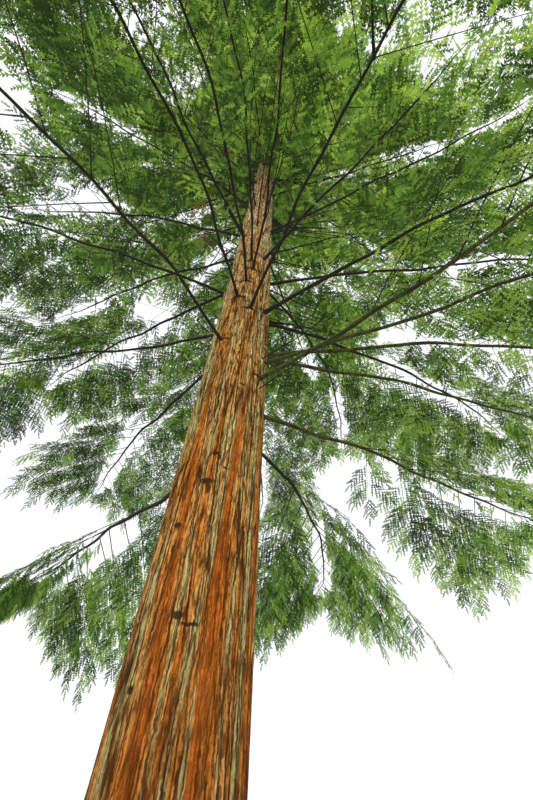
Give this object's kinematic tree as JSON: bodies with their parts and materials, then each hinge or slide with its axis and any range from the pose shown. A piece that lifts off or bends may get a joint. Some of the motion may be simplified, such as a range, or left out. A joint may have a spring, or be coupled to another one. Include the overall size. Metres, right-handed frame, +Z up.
{
  "type": "coast redwood tree",
  "caption": "Tall upright conifer: a straight, tapering trunk with fibrous bark and a flared foot, spreading boughs and masses of feathery needles, cut flat at ground level.",
  "frame": {"origin": "centre of the flat cut under the trunk, at ground level", "axes": "+Z up the trunk, the picture's camera on the -Y side, +X to its right"},
  "size_m": [10.5106, 10.4359, 25],
  "materials": {
    "bark": "thick fibrous orange-brown bark in long upright strips, weathered grey-buff on its ridges",
    "bough_bark": "thin dark brown bark, mossy green on some boughs",
    "needles": "green needles with a slight gloss"
  },
  "bodies": {
    "root": {"trunk": "bark", "bough_01": "bough_bark", "bough_02": "bough_bark", "bough_03": "bough_bark", "bough_04": "bough_bark", "bough_05": "bough_bark", "bough_06": "bough_bark", "bough_07": "bough_bark", "bough_08": "bough_bark", "bough_09": "bough_bark", "bough_10": "bough_bark", "bough_11": "bough_bark", "bough_12": "bough_bark", "bough_13": "bough_bark", "foliage_01": "needles", "foliage_02": "needles", "foliage_03": "needles", "foliage_04": "needles", "foliage_05": "needles", "foliage_06": "needles", "foliage_07": "needles", "foliage_08": "needles", "foliage_09": "needles", "foliage_10": "needles", "foliage_11": "needles", "foliage_12": "needles", "foliage_13": "needles", "foliage_14": "needles", "foliage_15": "needles", "foliage_16": "needles", "foliage_17": "needles", "foliage_18": "needles", "foliage_19": "needles", "foliage_20": "needles", "foliage_21": "needles", "foliage_22": "needles", "foliage_23": "needles", "foliage_24": "needles", "foliage_25": "needles", "foliage_26": "needles", "foliage_27": "needles", "foliage_28": "needles", "foliage_29": "needles", "foliage_30": "needles", "foliage_31": "needles", "foliage_32": "needles", "foliage_33": "needles", "foliage_34": "needles", "foliage_35": "needles", "foliage_36": "needles", "foliage_37": "needles", "foliage_38": "needles", "foliage_39": "needles", "foliage_40": "needles", "foliage_41": "needles", "foliage_42": "needles", "foliage_43": "needles", "foliage_44": "needles", "foliage_45": "needles", "foliage_46": "needles"}
  },
  "joints": []
}
